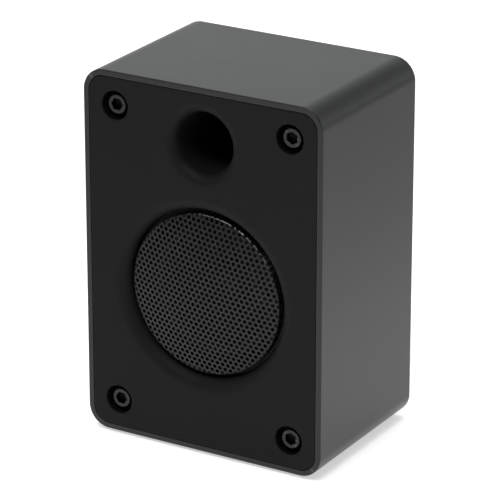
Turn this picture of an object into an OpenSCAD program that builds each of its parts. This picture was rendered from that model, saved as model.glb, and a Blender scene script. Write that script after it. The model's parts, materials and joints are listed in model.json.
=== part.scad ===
// A small bookshelf loudspeaker: an aluminium sleeve with a moulded front baffle, a flared
// port, a domed grille over one full-range driver, and a rear panel with push terminals.
// +X is the listener's right, the front faces -Y, and the feet stand on z = 0.

/* [Cabinet] */
// Width of the cabinet
cab_w = 115; // [100:1:150]
// Height of the cabinet without its feet
cab_h = 163; // [158:1:220]
// Depth of the cabinet
cab_d = 79; // [74:1:130]
// Thickness of the sleeve's wall
shell_t = 4.5; // [4:0.1:6]
// Thickness of the rim round the baffle and the rear panel
rim_t = 2.5; // [1.5:0.1:3]
// Outside radius of the sleeve's corners
corner_r = 10; // [7:0.5:14]
// Gap between the rim and the panel set into it
panel_gap = 0.2; // [0.1:0.05:0.4]
// Height of the stick-on feet
foot_h = 1.2; // [0.8:0.1:3]
// Radius of the feet
foot_r = 6; // [4:0.5:8]
// Distance from the start of the corner's round to a foot
foot_in = 1; // [0:0.5:6]

/* [Baffle and rear panel] */
// Thickness of the front baffle
baffle_t = 12; // [11:0.5:16]
// Thickness of the rear panel
rear_t = 6; // [5:0.5:9]
// Thickness of the foam gaskets
gasket_t = 1; // [0.6:0.1:1.5]
// Distance of the corner screws from the cabinet's sides
screw_in_x = 15.4; // [14:0.1:18]
// Distance of the corner screws from the cabinet's top and bottom
screw_in_z = 14.8; // [14:0.1:18]
// Radius of the thread of the corner screws
screw_r = 2.5; // [2:0.25:3]
// Radius of the head of the front screws
head_r = 4.25; // [4:0.05:5]
// Height of the head of the front screws
head_h = 5; // [3:0.1:5.5]
// Width across the flats of the front screws' sockets
socket_af = 4; // [3:0.1:4.5]
// Radius of the counterbores in the baffle
counterbore_r = 6.4; // [5.5:0.1:7]
// Depth of the front screws' heads below the baffle
head_sunk = 1.8; // [0.5:0.1:2]
// Length of the front screws below their heads
front_screw_l = 20; // [16:1:25]
// Radius of the head of the rear screws
rear_head_r = 4.75; // [4.5:0.05:5.5]
// Height of the head of the rear screws
rear_head_h = 2.75; // [2:0.05:3]
// Length of the rear screws below their heads
rear_screw_l = 16; // [12:1:20]
// Radius of the sleeve's screw channels
channel_r = 5.5; // [5:0.1:6]
// Thickness of the web between a screw channel and its corner
web_t = 4; // [3:0.5:6]

/* [Port] */
// Radius of the port's bore
port_r = 13.4; // [10:0.1:14]
// Radius of the flare at the port's mouth
port_flare = 5; // [3:0.5:7]
// Distance of the port's axis below the cabinet's top
port_down = 24.9; // [24:0.1:28]
// Distance from the front face to the inner end of the port tube
port_l = 55; // [40:1:60]
// Thickness of the port tube's wall
port_wall = 2; // [1.5:0.1:2.5]
// Depth to which the port tube enters the baffle
port_seat = 3; // [2:0.5:4]

/* [Grille] */
// Height of the driver's axis above the cabinet's bottom
driver_up = 70.9; // [64:0.1:72]
// Radius of the well that holds the grille
well_r = 37.5; // [36.5:0.1:39]
// Radius of the flare round the well
well_flare = 6; // [4:0.5:7]
// Depth of the well's ledge below the front face
well_depth = 8; // [7:0.1:8.5]
// Width of the well's ledge
ledge_w = 4; // [3:0.1:5]
// Gap between the grille and the well
grille_gap = 1.8; // [1:0.1:2.5]
// Radius of the sphere that the grille is part of
dome_r = 170; // [130:1:200]
// Depth of the middle of the grille below the front face, negative where it stands proud
grille_sunk = -0.6; // [-1:0.1:1]
// Thickness of the grille's sheet
grille_t = 0.8; // [0.6:0.1:1.2]
// Thickness of the felt ring under the grille
felt_t = 0.8; // [0.5:0.1:1]

/* [Driver] */
// Width of the driver frame's flange outside the baffle's opening
flange_w = 10; // [9:0.5:12]
// Thickness of the driver frame's flange
flange_t = 2.5; // [2:0.1:3]
// Distance of the driver's screws from the flange's edge
frame_screw_in = 3.5; // [3:0.1:4.5]
// Radius of the driver screws' thread
frame_screw_r = 1.75; // [1.5:0.05:2]
// Width of the surround's outer flat
surround_flat = 3; // [2:0.1:4]
// Radius of the surround's roll in section
surround_roll_r = 2.6; // [2:0.1:2.7]
// Thickness of the surround's rubber
surround_t = 0.8; // [0.5:0.1:1]
// Width of the cone's front lip
cone_lip = 2.7; // [2:0.1:3.5]
// Depth of the cone from its front edge to its neck
cone_depth = 11; // [9:0.5:11]
// Thickness of the cone's paper
cone_t = 0.6; // [0.4:0.1:0.8]
// Outside radius of the voice coil's former
former_r = 10; // [8:0.5:10]
// Wall of the former
former_t = 0.25; // [0.2:0.05:0.3]
// Thickness of the voice coil's winding
coil_t = 0.5; // [0.3:0.05:0.6]
// Length of the voice coil's winding
coil_l = 7; // [6:0.5:8]
// Radial gap on each side of the moving coil
air_gap = 0.5; // [0.4:0.05:0.8]
// Outside radius of the magnet
magnet_r = 30; // [26:1:34]
// Thickness of the magnet
magnet_t = 10; // [8:0.5:12]
// Thickness of the motor's front and back plates
plate_t = 4; // [3:0.5:5]
// How much smaller than the magnet the plates are
plate_in = 3; // [2:0.5:4]
// Radius of the vent through the pole
vent_r = 3; // [2:0.5:4]

/* [Terminals] */
// Height of the terminal housing's middle above the cabinet's bottom
terminal_up = 45; // [42:1:50]
// Width of the face plate's border at the cup's sides
plate_border = 8; // [7.5:0.5:10]
// Width of the face plate's border above and below the cup
plate_lap = 4; // [3:0.5:6]
// Thickness of the face plate
face_t = 2; // [1.5:0.1:2.5]
// Depth of the cup behind the face plate
cup_d = 16; // [16:0.5:18]
// Wall of the cup
cup_t = 1.6; // [1.2:0.1:1.8]
// Width of a lever
lever_w = 14.5; // [12:0.5:18]
// Height of a lever above its pivot
lever_h = 13.6; // [12:0.1:17]
// Thickness of a lever
lever_t = 2.6; // [2:0.1:2.8]
// Depth of the levers below the rear face
lever_sunk = 1.2; // [0.8:0.1:1.4]
// Radius of the levers' barrels
barrel_r = 2.4; // [2:0.1:2.5]
// Radius of the levers' pivot pin
pivot_r = 1; // [0.8:0.05:1.2]
// Running clearance between the pin and a lever
pivot_gap = 0.05; // [0.03:0.01:0.1]
// Radius of the holes that take the speaker wires
wire_hole_r = 2; // [1.5:0.1:2.2]
// Coil radius of the lever springs
spring_r = 2.2; // [1.8:0.1:2.6]
// Turns in a lever spring
spring_turns = 7; // [5:1:8]

/* [Wall bracket] */
// Distance between the two threaded inserts
bracket_pitch = 60; // [50:1:60]
// Distance of the upper insert below the cabinet's top
bracket_down = 11; // [10:1:14]
// Radius of the inserts' thread
insert_thread_r = 2.5; // [2:0.5:3]
// Outside radius of the inserts
insert_r = 3.5; // [3.2:0.1:4]
// Length of the inserts
insert_l = 10; // [8:0.5:10]

/* [Hidden] */

fine = 96;      // facets of large round shapes
coarse = 48;    // facets of small round shapes
over = 0.01;    // how far a cut runs past a face

// Levels and axes. Depths are measured from the front face towards the rear.
front_y = -cab_d / 2;
mid_z = foot_h + cab_h / 2;
port_z = foot_h + cab_h - port_down;
driver_z = foot_h + driver_up;
terminal_z = foot_h + terminal_up;
screw_x = cab_w / 2 - screw_in_x;
screw_z = cab_h / 2 - screw_in_z;
sleeve_from = baffle_t + gasket_t;
sleeve_to = cab_d - rear_t - gasket_t;
foot_inset = corner_r + foot_r + foot_in;
panel_w = cab_w - 2 * (rim_t + panel_gap);
panel_h = cab_h - 2 * (rim_t + panel_gap);
panel_corner = corner_r - rim_t - panel_gap;
room_w = cab_w - 2 * shell_t;
room_h = cab_h - 2 * shell_t;
room_corner = corner_r - shell_t;

bracket_top_z = foot_h + cab_h - bracket_down;

// Screws
thread_gap = 0.05;
hole_gap = 0.25;
rear_counterbore_r = rear_head_r + 0.55;
rear_counterbore_d = rear_head_h + 0.05;
rear_socket_af = 3;
frame_screw_grip = 8;

// Radii of the grille and of what sits behind it
throat_r = well_r - ledge_w;
grille_r = well_r - grille_gap;
frame_r = throat_r + flange_w;
frame_screw_pcr = frame_r - frame_screw_in;
surround_mid_r = throat_r - surround_flat - surround_roll_r - surround_t / 2;

// Driver levels, as depths
seat_d = baffle_t + gasket_t;
lip_step = 1;
lip_d = seat_d + lip_step;
flange_in_r = surround_mid_r + surround_roll_r + surround_t / 2;
roll_in_r = surround_mid_r - surround_roll_r - surround_t / 2;
cone_r = roll_in_r + 0.2;
cone_in_r = cone_r - cone_lip;
neck_d = lip_d + cone_depth;
former_from = neck_d - 1;
former_to = former_from + 18;
shelf_d = lip_d + 16;
spider_t = 0.6;
coil_from = former_to - coil_l - 0.5;
frame_neck_r = 25;
frame_wall = 1.8;
spider_r = frame_neck_r - frame_wall - 0.4;
motor_d = shelf_d + 6;
gap_r = former_r + coil_t + air_gap;
pole_r = former_r - former_t - air_gap;
motor_plate_r = magnet_r - plate_in;
frame_window = 26;

// Terminal levels, as depths and heights
lever_side_gap = 0.5;
lever_top_gap = 1.1;
window_bar = 3;
window_land = 1.4;
edge_land = 0.9;
hole_land = 1.9;
window_w = lever_w + 2 * lever_side_gap;
lever_x = (window_bar + window_w) / 2;
lever_rise = lever_h + lever_top_gap + edge_land;
hole_fall = barrel_r + hole_land + 2 * wire_hole_r + edge_land;
cup_w = 2 * (lever_x + window_w / 2 + window_land + cup_t);
cup_h = lever_rise + hole_fall + 2 * cup_t;
plate_w = cup_w + 2 * plate_border;
plate_h = cup_h + 2 * plate_lap;
face_d = cab_d - face_t;
cup_from = face_d - cup_d;
cup_back = cup_from + cup_t;
lever_face = cab_d - lever_sunk;
lever_back = lever_face - lever_t;
pivot_d = face_d - barrel_r - 0.4;
pivot_z = terminal_z - (lever_rise - hole_fall) / 2;
wire_hole_z = pivot_z - barrel_r - hole_land - wire_hole_r;
guide_l = 3;
tail_t = 2;
tail_reach = 6.1;
tail_drop = 5.8;
contact_t = 0.6;
contact_w = 6;
contact_d = pivot_d - tail_reach - tail_t / 2 - 0.3;
contact_z = terminal_z - cup_h / 2 + cup_t + 0.7;
contact_tab = 6;
spring_z = pivot_z + 0.75 * lever_h;
spring_wire_r = 0.3;
terminal_screw_x = (cup_w + plate_border) / 2;
terminal_screw_r = 1.5;
terminal_screw_l = 8;

// Tags on the driver frame, below its axis
tag_x = 5;
tag_drop = frame_r - 3;
tag_strip_t = 1.2;
tag_t = 0.5;
tag_d = seat_d + flange_t + tag_strip_t;
tag_tail = 4;

// ---- Helpers -------------------------------------------------------------------------

// Extrudes a shape drawn in x and z, from one depth over a thickness.
module slab(depth, t) {
    translate([0, front_y + depth + t, 0])
        rotate([90, 0, 0])
            linear_extrude(height = t)
                children();
}

// Turns a profile drawn in radius and depth about an axis along y.
module lathe(x, z) {
    translate([x, front_y, z])
        rotate([-90, 0, 0])
            rotate_extrude($fn = fine)
                children();
}

// A round rod along y, from one depth over a length.
module rod(r, x, z, depth, length) {
    translate([x, front_y + depth, z])
        rotate([-90, 0, 0])
            cylinder(r = r, h = length, $fn = coarse);
}

// A hexagonal rod along y, turned by an angle.
module hex_rod(af, x, z, depth, length, turn) {
    translate([x, front_y + depth, z])
        rotate([-90, turn, 0])
            cylinder(r = af / sqrt(3), h = length, $fn = 6);
}

// A box given by its middle in x and z, its size, and a stretch of depth.
module block(x, z, w, h, depth, t) {
    translate([x - w / 2, front_y + depth, z - h / 2])
        cube([w, t, h]);
}

// A rectangle with round corners, centred.
module rounded(w, h, r) {
    square([w - 2 * r, h], center = true);
    square([w, h - 2 * r], center = true);
    for (x = [-1, 1], z = [-1, 1])
        translate([x * (w / 2 - r), z * (h / 2 - r)])
            circle(r = r, $fn = coarse);
}

// Places children on the four corner screws, in x and z.
module at_corner_screws() {
    for (x = [-1, 1], z = [-1, 1])
        translate([x * screw_x, mid_z + z * screw_z])
            children();
}

// The screw channels' outline, each with a web that runs into its corner of the sleeve.
module channel_outline() {
    corner_x = cab_w / 2 - corner_r - screw_x;
    corner_z = cab_h / 2 - corner_r - screw_z;
    web_l = norm([corner_x, corner_z]) + corner_r - (rim_t + shell_t) / 2;
    for (x = [-1, 1], z = [-1, 1])
        translate([x * screw_x, mid_z + z * screw_z]) {
            circle(r = channel_r, $fn = coarse);
            rotate(atan2(z * corner_z, x * corner_x))
                translate([0, -web_t / 2])
                    square([web_l, web_t]);
        }
}

// The outline of a flare: a block from the mouth's edge to the bore, less a round.
// The front face is at depth 0.
module flare_profile(bore, flare) {
    translate([0, -over])
        square([bore, flare + 2 * over]);
    difference() {
        translate([bore - over, -over])
            square([flare + over, flare + over]);
        translate([bore + flare, flare])
            circle(r = flare, $fn = fine);
    }
}

// Points of a smooth curve through the given points.
function smooth_point(a, b, c, d, t) =
    0.5 * (2 * b + (c - a) * t + (2 * a - 5 * b + 4 * c - d) * t * t
        + (3 * b - a - 3 * c + d) * t * t * t);
function clamped(p, i) = p[max(0, min(len(p) - 1, i))];
function smooth_path(p, steps) = [
    for (i = [0 : len(p) - 2], s = [0 : steps - 1])
        smooth_point(clamped(p, i - 1), p[i], p[i + 1], clamped(p, i + 2), s / steps),
    p[len(p) - 1]
];

// A tube of even thickness along points, with rings square to the path.
function unit(v) = v / norm(v);
function heading(p, i) = unit(clamped(p, i + 1) - clamped(p, i - 1));
function ring(p, i, r, sides, side_axis) =
    let (along = heading(p, i), u = unit(cross(along, side_axis)), v = cross(along, u))
    [for (k = [0 : sides - 1])
        p[i] + r * (cos(360 * k / sides) * u + sin(360 * k / sides) * v)];
module tube(p, r, sides, side_axis) {
    last = (len(p) - 1) * sides;
    polyhedron(
        points = [for (i = [0 : len(p) - 1]) each ring(p, i, r, sides, side_axis)],
        faces = [
            [for (k = [0 : sides - 1]) k],
            [for (k = [sides - 1 : -1 : 0]) last + k],
            for (i = [0 : len(p) - 2], k = [0 : sides - 1])
                let (a = i * sides, n = (k + 1) % sides)
                [a + k, a + sides + k, a + sides + n],
            for (i = [0 : len(p) - 2], k = [0 : sides - 1])
                let (a = i * sides, n = (k + 1) % sides)
                [a + k, a + sides + n, a + n]
        ]
    );
}

// ---- Cabinet -------------------------------------------------------------------------

module cabinet_shell() {
    color([0.36, 0.37, 0.36])
        difference() {
            union() {
                difference() {
                    slab(0, cab_d)
                        translate([0, mid_z]) rounded(cab_w, cab_h, corner_r);
                    slab(-over, cab_d + 2 * over)
                        translate([0, mid_z]) rounded(room_w, room_h, room_corner);
                    for (d = [[-over, sleeve_from + over], [sleeve_to, cab_d - sleeve_to + over]])
                        slab(d[0], d[1])
                            translate([0, mid_z])
                                rounded(cab_w - 2 * rim_t, cab_h - 2 * rim_t, corner_r - rim_t);
                }
                slab(sleeve_from, sleeve_to - sleeve_from)
                    channel_outline();
            }
            slab(sleeve_from - over, sleeve_to - sleeve_from + 2 * over)
                at_corner_screws() circle(r = screw_r, $fn = coarse);
        }
}

module rubber_feet() {
    color([0.06, 0.06, 0.06])
        for (x = [-1, 1], y = [-1, 1])
            translate([x * (cab_w / 2 - foot_inset), y * (cab_d / 2 - foot_inset), 0])
                cylinder(r = foot_r, h = foot_h, $fn = coarse);
}

module front_baffle() {
    collar_r = port_r + port_wall + 2.5;
    collar_l = 6;
    color([0.13, 0.13, 0.13])
        difference() {
            union() {
                slab(0, baffle_t)
                    translate([0, mid_z]) rounded(panel_w, panel_h, panel_corner);
                rod(collar_r, 0, port_z, baffle_t - over, collar_l + over);
            }
            lathe(0, port_z) {
                flare_profile(port_r, port_flare);
                square([port_r, baffle_t + collar_l + over]);
                translate([0, baffle_t - port_seat])
                    square([port_r + port_wall + panel_gap / 2, port_seat + collar_l + over]);
            }
            lathe(0, driver_z) {
                flare_profile(well_r, well_flare);
                square([well_r, well_depth]);
                square([throat_r, baffle_t + over]);
            }
            lathe(0, driver_z)
                translate([0, baffle_t]) square([frame_r + panel_gap, collar_l + over]);
            slab(-over, head_sunk + head_h + over)
                at_corner_screws() circle(r = counterbore_r, $fn = coarse);
            slab(-over, baffle_t + 2 * over)
                at_corner_screws() circle(r = screw_r + hole_gap, $fn = coarse);
            for (a = [45 : 90 : 315])
                rod(frame_screw_r, frame_screw_pcr * cos(a), driver_z + frame_screw_pcr * sin(a),
                    baffle_t - frame_screw_grip, frame_screw_grip + over);
        }
}

// A foam seal that follows a panel's edge and rings its screws.
module panel_gasket(depth) {
    color([0.2, 0.2, 0.2])
        slab(depth, gasket_t)
            difference() {
                union() {
                    difference() {
                        translate([0, mid_z]) rounded(panel_w, panel_h, panel_corner);
                        translate([0, mid_z]) rounded(room_w, room_h, room_corner);
                    }
                    channel_outline();
                }
                at_corner_screws() circle(r = screw_r + hole_gap, $fn = coarse);
            }
}
module baffle_gasket() panel_gasket(baffle_t);
module rear_gasket() panel_gasket(sleeve_to);

module front_screws() {
    head_chamfer = 0.2;
    color([0.25, 0.25, 0.26])
        for (x = [-1, 1], z = [-1, 1]) {
            at_x = x * screw_x;
            at_z = mid_z + z * screw_z;
            difference() {
                union() {
                    lathe(at_x, at_z)
                        polygon([
                            [0, head_sunk], [head_r - head_chamfer, head_sunk],
                            [head_r, head_sunk + head_chamfer],
                            [head_r, head_sunk + head_h], [0, head_sunk + head_h]
                        ]);
                    rod(screw_r - thread_gap, at_x, at_z, head_sunk + head_h - over,
                        front_screw_l + over);
                }
                hex_rod(socket_af, at_x, at_z, head_sunk - over, head_h / 2 + over, x < 0 ? 3 : 30);
            }
        }
}

module port_tube() {
    from = baffle_t - port_seat;
    lip = 3;
    color([0.1, 0.1, 0.1])
        lathe(0, port_z)
            difference() {
                union() {
                    translate([port_r, from]) square([port_wall, port_l - from]);
                    translate([port_r, port_l - lip]) square([port_wall + lip, lip]);
                }
                translate([port_r + port_wall + lip, port_l - lip])
                    circle(r = lip, $fn = coarse);
            }
}

// ---- Grille --------------------------------------------------------------------------

module grille() {
    sphere_d = grille_sunk + dome_r;
    edge_d = sphere_d - sqrt(dome_r * dome_r - grille_r * grille_r);
    color([0.28, 0.28, 0.28])
        lathe(0, driver_z) {
            intersection() {
                difference() {
                    translate([0, sphere_d]) circle(r = dome_r, $fn = 5 * fine);
                    translate([0, sphere_d]) circle(r = dome_r - grille_t, $fn = 5 * fine);
                }
                translate([0, grille_sunk]) square([grille_r, dome_r]);
            }
            translate([grille_r - grille_t, edge_d])
                square([grille_t, well_depth - felt_t - edge_d]);
        }
}

module grille_ring() {
    color([0.05, 0.05, 0.05])
        lathe(0, driver_z)
            translate([throat_r + 0.4, well_depth - felt_t])
                square([grille_r - throat_r, felt_t]);
}

// ---- Driver --------------------------------------------------------------------------

module driver_frame() {
    flange_to = seat_d + flange_t;
    ring_t = 1.5;
    color([0.2, 0.2, 0.21])
        difference() {
            lathe(0, driver_z)
                polygon([
                    [flange_in_r, lip_d], [throat_r + panel_gap, lip_d], [throat_r + panel_gap, seat_d],
                    [frame_r, seat_d], [frame_r, flange_to],
                    [flange_in_r + 4, flange_to], [frame_neck_r, shelf_d],
                    [frame_neck_r, motor_d],
                    [gap_r + 1.5, motor_d], [gap_r + 1.5, motor_d - ring_t],
                    [frame_neck_r - frame_wall, motor_d - ring_t],
                    [frame_neck_r - frame_wall, shelf_d + 1],
                    [spider_r - 2.3, shelf_d + 1], [spider_r - 2.3, shelf_d],
                    [frame_neck_r - frame_wall, shelf_d],
                    [flange_in_r + 4 - frame_wall, flange_to], [flange_in_r, flange_to]
                ]);
            for (a = [45 : 90 : 315])
                rod(frame_screw_r + hole_gap, frame_screw_pcr * cos(a),
                    driver_z + frame_screw_pcr * sin(a), seat_d - over, flange_t + 2 * over);
            for (turned = [false, true])
                block(0, driver_z, turned ? 2 * frame_r : frame_window,
                    turned ? frame_window : 2 * frame_r, flange_to + 1.5, shelf_d - flange_to - 3);
        }
}

module driver_gasket() {
    color([0.2, 0.2, 0.2])
        slab(baffle_t, gasket_t)
            translate([0, driver_z])
                difference() {
                    circle(r = frame_r - 0.5, $fn = fine);
                    circle(r = throat_r + 0.5, $fn = fine);
                    for (a = [45 : 90 : 315])
                        translate([frame_screw_pcr * cos(a), frame_screw_pcr * sin(a)])
                            circle(r = frame_screw_r + hole_gap, $fn = coarse);
                }
}

module driver_screws() {
    screw_head_r = 3.2;
    screw_head_h = 2.2;
    color([0.3, 0.3, 0.31])
        for (a = [45 : 90 : 315]) {
            at_x = frame_screw_pcr * cos(a);
            at_z = driver_z + frame_screw_pcr * sin(a);
            difference() {
                union() {
                    rod(screw_head_r, at_x, at_z, seat_d + flange_t, screw_head_h);
                    rod(frame_screw_r - thread_gap, at_x, at_z, baffle_t - frame_screw_grip + 0.5,
                        frame_screw_grip + gasket_t + flange_t - 0.5 + over);
                }
                for (turn = [0, 90])
                    translate([at_x, front_y + seat_d + flange_t + screw_head_h, at_z])
                        rotate([0, turn, 0])
                            cube([3.4, 2.4, 0.8], center = true);
            }
        }
}

module driver_surround() {
    roll_d = lip_d - surround_t / 2;
    color([0.04, 0.04, 0.04])
        lathe(0, driver_z) {
            intersection() {
                difference() {
                    translate([surround_mid_r, roll_d])
                        circle(r = surround_roll_r + surround_t / 2, $fn = fine);
                    translate([surround_mid_r, roll_d])
                        circle(r = surround_roll_r - surround_t / 2, $fn = fine);
                }
                translate([0, roll_d - 2 * surround_roll_r])
                    square([frame_r, 2 * surround_roll_r + surround_t / 2]);
            }
            translate([surround_mid_r + surround_roll_r, lip_d - surround_t])
                square([throat_r - surround_mid_r - surround_roll_r, surround_t]);
            translate([cone_in_r, lip_d - surround_t])
                square([surround_mid_r - surround_roll_r - cone_in_r, surround_t]);
        }
}

module driver_cone() {
    color([0.15, 0.15, 0.15])
        lathe(0, driver_z)
            polygon([
                [cone_r, lip_d], [cone_in_r, lip_d], [former_r, neck_d - cone_t],
                [former_r, neck_d + cone_t / 2], [former_r + cone_t, neck_d + cone_t / 2],
                [cone_in_r + cone_t, lip_d + cone_t], [cone_r, lip_d + cone_t]
            ]);
}

module dust_cap() {
    cap_t = 0.4;
    cap_r = former_r - 0.1;
    cap_h = 4.5;
    ball_r = (cap_r * cap_r + cap_h * cap_h) / (2 * cap_h);
    ball_d = former_from - cap_h + ball_r;
    color([0.08, 0.08, 0.08])
        lathe(0, driver_z)
            intersection() {
                difference() {
                    translate([0, ball_d]) circle(r = ball_r, $fn = fine);
                    translate([0, ball_d]) circle(r = ball_r - cap_t, $fn = fine);
                }
                translate([0, former_from - 2 * cap_h]) square([cap_r, 2 * cap_h]);
            }
}

module coil_former() {
    color([0.72, 0.6, 0.35])
        lathe(0, driver_z)
            translate([former_r - former_t, former_from])
                square([former_t, former_to - former_from]);
}

module voice_coil() {
    color([0.65, 0.33, 0.15])
        lathe(0, driver_z)
            translate([former_r, coil_from]) square([coil_t, coil_l]);
}

module spider() {
    inner = former_r + 0.3;
    outer_flat = spider_r - 2.3;
    waves = 3;
    wave_h = 0.8;
    steps = 36;
    mid_d = shelf_d - spider_t;
    function wave(i) = [
        inner + (outer_flat - inner) * i / steps,
        mid_d - wave_h * pow(sin(180 * waves * i / steps), 2)
    ];
    color([0.75, 0.6, 0.3])
        lathe(0, driver_z)
            polygon([
                for (i = [0 : steps]) wave(i),
                [spider_r, mid_d], [spider_r, shelf_d],
                for (i = [steps : -1 : 0]) wave(i) + [0, spider_t]
            ]);
}

module motor_ring(inner, outer, depth, t) {
    lathe(0, driver_z)
        translate([inner, depth]) square([outer - inner, t]);
}
module motor_front_plate() {
    color([0.6, 0.6, 0.62]) motor_ring(gap_r, motor_plate_r, motor_d, plate_t);
}
module magnet() {
    color([0.1, 0.1, 0.11]) motor_ring(gap_r + 3, magnet_r, motor_d + plate_t, magnet_t);
}
module motor_back_plate() {
    back_d = motor_d + plate_t + magnet_t;
    color([0.6, 0.6, 0.62])
        lathe(0, driver_z)
            polygon([
                [vent_r, motor_d - 1], [pole_r, motor_d - 1], [pole_r, back_d],
                [motor_plate_r, back_d], [motor_plate_r, back_d + plate_t],
                [vent_r, back_d + plate_t]
            ]);
}

module driver_tag_strip() {
    color([0.45, 0.25, 0.12])
        block(0, driver_z - tag_drop + 1.5, 18, 6, seat_d + flange_t, tag_strip_t);
}

module driver_tags() {
    tag_w = 3;
    color([0.8, 0.65, 0.3])
        for (x = [-tag_x, tag_x]) {
            block(x, driver_z - tag_drop + 2, tag_w, 4, tag_d, tag_t);
            block(x, driver_z - tag_drop + tag_t / 2, tag_w, tag_t, tag_d, tag_tail);
        }
}

// Depth of the cone's rear face at a radius.
function cone_back(r) = lip_d + cone_t
    + (cone_in_r + cone_t - r) * (neck_d - lip_d - cone_t / 2) / (cone_in_r - former_r);

// Each lead loops from its tag, through the frame's lower window, to the back of the cone.
module tinsel_leads() {
    lead_r = 0.4;
    start = tag_drop - 3;
    end = former_r + 7;
    end_d = cone_back(norm([tag_x, end])) + lead_r + 0.2;
    color([0.7, 0.45, 0.25])
        for (x = [-tag_x, tag_x])
            tube(smooth_path([for (p = [
                        [tag_d + 1.4, start], [tag_d + 3, start - 2.5],
                        [tag_d + 5.5, surround_mid_r + 3], [tag_d + 7.5, surround_mid_r - 1.5],
                        [tag_d + 7.5, cone_in_r - 0.5], [end_d, end]
                    ]) [x, front_y + p[0], driver_z - p[1]]], 3),
                lead_r, 8, [1, 0, 0]);
}

// ---- Rear ----------------------------------------------------------------------------

module rear_panel() {
    boss_r = insert_r + 2.5;
    boss_l = insert_l - rear_t + 1.5;
    panel_from = cab_d - rear_t;
    terminal_boss_r = 3.5;
    terminal_boss_l = 3;
    recess_t = face_t + gasket_t;
    color([0.12, 0.12, 0.12])
        difference() {
            union() {
                slab(panel_from, rear_t)
                    translate([0, mid_z]) rounded(panel_w, panel_h, panel_corner);
                for (k = [0, 1])
                    rod(boss_r, 0, bracket_top_z - k * bracket_pitch,
                        panel_from - boss_l, boss_l + over);
                for (x = [-terminal_screw_x, terminal_screw_x])
                    rod(terminal_boss_r, x, terminal_z, panel_from - terminal_boss_l,
                        terminal_boss_l + over);
            }
            slab(cab_d - rear_counterbore_d, rear_counterbore_d + over)
                at_corner_screws() circle(r = rear_counterbore_r, $fn = coarse);
            slab(panel_from - over, rear_t + 2 * over)
                at_corner_screws() circle(r = screw_r + hole_gap, $fn = coarse);
            for (k = [0, 1])
                rod(insert_r, 0, bracket_top_z - k * bracket_pitch, cab_d - insert_l,
                    insert_l + over);
            slab(cab_d - recess_t, recess_t + over)
                translate([0, terminal_z])
                    rounded(plate_w + 2 * panel_gap, plate_h + 2 * panel_gap, 3 + panel_gap);
            block(0, terminal_z, cup_w + 2 * panel_gap, cup_h + 2 * panel_gap,
                panel_from - over, rear_t + 2 * over);
            for (x = [-terminal_screw_x, terminal_screw_x])
                rod(terminal_screw_r, x, terminal_z, cab_d - terminal_screw_l - 0.5,
                    terminal_screw_l + 1);
        }
}

module rear_screws() {
    color([0.25, 0.25, 0.26])
        for (x = [-1, 1], z = [-1, 1]) {
            at_x = x * screw_x;
            at_z = mid_z + z * screw_z;
            under = cab_d - rear_counterbore_d;
            difference() {
                union() {
                    lathe(at_x, at_z)
                        intersection() {
                            translate([0, under]) square([rear_head_r, rear_head_h]);
                            translate([0, under + rear_head_h - rear_head_r * 1.4])
                                circle(r = rear_head_r * 1.4, $fn = fine);
                        }
                    rod(screw_r - thread_gap, at_x, at_z, under - rear_screw_l,
                        rear_screw_l + over);
                }
                hex_rod(rear_socket_af, at_x, at_z, cab_d - 2, 2 + over, 10 + 20 * x);
            }
        }
}

module bracket_inserts() {
    color([0.8, 0.65, 0.3])
        for (k = [0, 1])
            difference() {
                rod(insert_r, 0, bracket_top_z - k * bracket_pitch, cab_d - insert_l,
                    insert_l);
                rod(insert_thread_r, 0, bracket_top_z - k * bracket_pitch,
                    cab_d - insert_l - over, insert_l + 2 * over);
            }
}

// ---- Terminals -----------------------------------------------------------------------

module terminal_housing() {
    inside_w = cup_w - 2 * cup_t;
    inside_h = cup_h - 2 * cup_t;
    rib_t = 2;
    seat_r = spring_r - spring_wire_r - 0.2;
    window_from = pivot_z - barrel_r + 0.1;
    window_to = pivot_z + lever_h + lever_top_gap;
    color([0.09, 0.09, 0.09])
        difference() {
            union() {
                slab(face_d, face_t)
                    translate([0, terminal_z]) rounded(plate_w, plate_h, 3);
                difference() {
                    block(0, terminal_z, cup_w, cup_h, cup_from, cup_d + over);
                    block(0, terminal_z, inside_w, inside_h, cup_back, cup_d);
                }
                block(0, terminal_z, rib_t, inside_h + over, cup_back - over, cup_d - cup_t + 2 * over);
                for (x = [-lever_x, lever_x]) {
                    rod(wire_hole_r + 1.2, x, wire_hole_z, face_d - guide_l, guide_l + over);
                    rod(seat_r, x, spring_z, cup_back - over, 2);
                }
            }
            for (x = [-lever_x, lever_x]) {
                block(x, (window_from + window_to) / 2, window_w, window_to - window_from,
                    face_d - over, face_t + 2 * over);
                rod(wire_hole_r, x, wire_hole_z, face_d - guide_l - over,
                    guide_l + face_t + 2 * over);
                block(x, contact_z, contact_w, contact_t, cup_from - over, cup_t + 2 * over);
            }
            translate([0, front_y + pivot_d, pivot_z])
                rotate([0, 90, 0])
                    cylinder(r = pivot_r, h = cup_w - 1.2, center = true, $fn = coarse);
            for (x = [-terminal_screw_x, terminal_screw_x])
                translate([x, front_y + cab_d, terminal_z])
                    rotate([90, 0, 0]) {
                        translate([0, 0, -over])
                            cylinder(r1 = 2.8 + over, r2 = terminal_screw_r, h = 1.5, $fn = coarse);
                        cylinder(r = terminal_screw_r + 0.1, h = face_t + over, $fn = coarse);
                    }
        }
}

module terminal_gasket() {
    color([0.2, 0.2, 0.2])
        slab(face_d - gasket_t, gasket_t)
            translate([0, terminal_z])
                difference() {
                    rounded(plate_w, plate_h, 3);
                    square([cup_w + 2 * panel_gap, cup_h + 2 * panel_gap], center = true);
                    for (x = [-terminal_screw_x, terminal_screw_x])
                        translate([x, 0]) circle(r = terminal_screw_r + 0.2, $fn = coarse);
                }
}

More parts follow.
